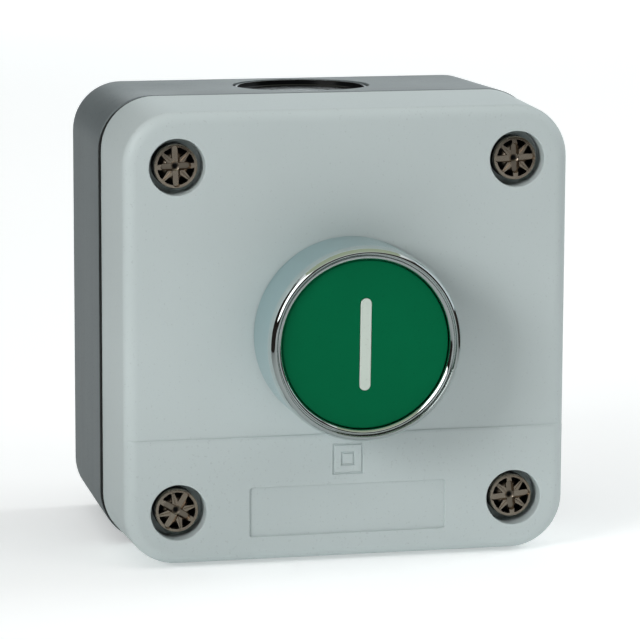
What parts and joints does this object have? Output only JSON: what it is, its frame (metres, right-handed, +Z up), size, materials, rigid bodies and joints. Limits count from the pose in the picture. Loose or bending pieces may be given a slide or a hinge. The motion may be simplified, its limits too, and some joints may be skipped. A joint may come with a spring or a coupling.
{
  "type": "push-button control station",
  "caption": "Surface-mounted control station: a shallow two-part plastic box with captive cover screws and a flush round push button in a chromed bezel.",
  "frame": {"origin": "middle of the flat back of the base, which goes against a wall or machine panel", "axes": "+Z up, +X to the right as seen from the front, +Y backwards into the wall; the button faces -Y"},
  "size_m": [0.068, 0.0576, 0.068],
  "materials": {
    "cover_plastic": "light grey moulded plastic, fine satin texture",
    "base_plastic": "mid grey moulded plastic, smooth satin",
    "black_rubber": "matt black sealing rubber",
    "black_plastic": "glossy black moulded plastic",
    "nickel_steel": "warm nickel-plated steel",
    "bezel_chrome": "bright chrome plating, satin on the side wall",
    "green_plastic": "signal green moulded plastic, fine satin texture",
    "white_inlay": "off-white inlaid plastic",
    "dark_nylon": "dark grey glass-filled nylon",
    "grey_nylon": "grey glass-filled nylon",
    "spring_steel": "drawn spring wire",
    "brass_strip": "punched brass strip",
    "silver_contact": "silver-faced copper contact bar"
  },
  "bodies": {
    "enclosure": {"base_box": "base_plastic", "front_cover": "cover_plastic", "cover_gasket": "black_rubber", "cover_screw_top_left": "nickel_steel", "screw_seal_top_left": "black_rubber", "cover_screw_top_right": "nickel_steel", "screw_seal_top_right": "black_rubber", "cover_screw_bottom_left": "nickel_steel", "screw_seal_bottom_left": "black_rubber", "cover_screw_bottom_right": "nickel_steel", "screw_seal_bottom_right": "black_rubber", "entry_plug_top": "black_plastic", "entry_plug_bottom": "black_plastic", "bezel": "bezel_chrome", "bezel_seal": "black_rubber", "head_body": "dark_nylon", "wiper_seal": "black_rubber", "lock_nut": "grey_nylon", "return_spring": "spring_steel", "mounting_collar": "dark_nylon", "collar_screw": "nickel_steel", "contact_housing": "grey_nylon", "contact_lid": "grey_nylon", "plunger_spring": "spring_steel", "fixed_contact_upper": "brass_strip", "terminal_clamp_upper": "nickel_steel", "terminal_screw_upper": "nickel_steel", "fixed_contact_lower": "brass_strip", "terminal_clamp_lower": "nickel_steel", "terminal_screw_lower": "nickel_steel"},
    "button": {"button_cap": "green_plastic", "cap_legend": "white_inlay", "button_plunger": "dark_nylon"},
    "contact_plunger": {"contact_plunger": "green_plastic", "bridge_spring": "spring_steel"},
    "contact_bridge": {"contact_bridge": "silver_contact"}
  },
  "joints": [
    {"name": "button_press", "type": "slide", "parent": "enclosure", "child": "button", "axis": [0, 1, 0], "range_m": [0, 0.004], "stiffness_N_per_m": 600, "springref_m": -0.003, "deforming": ["return_spring"]},
    {"name": "contact_plunger_slide", "type": "slide", "parent": "enclosure", "child": "contact_plunger", "axis": [0, 1, 0], "range_m": [0, 0.004], "deforming": ["plunger_spring"]},
    {"name": "contact_bridge_slide", "type": "slide", "parent": "contact_plunger", "child": "contact_bridge", "axis": [0, -1, 0], "range_m": [0, 0.00144], "deforming": ["bridge_spring"]}
  ],
  "couplings": [
    {"joint": "contact_plunger_slide", "follows": "button_press", "ratio": 1},
    {"joint": "contact_bridge_slide", "follows": "button_press", "ratio": 0.36}
  ]
}
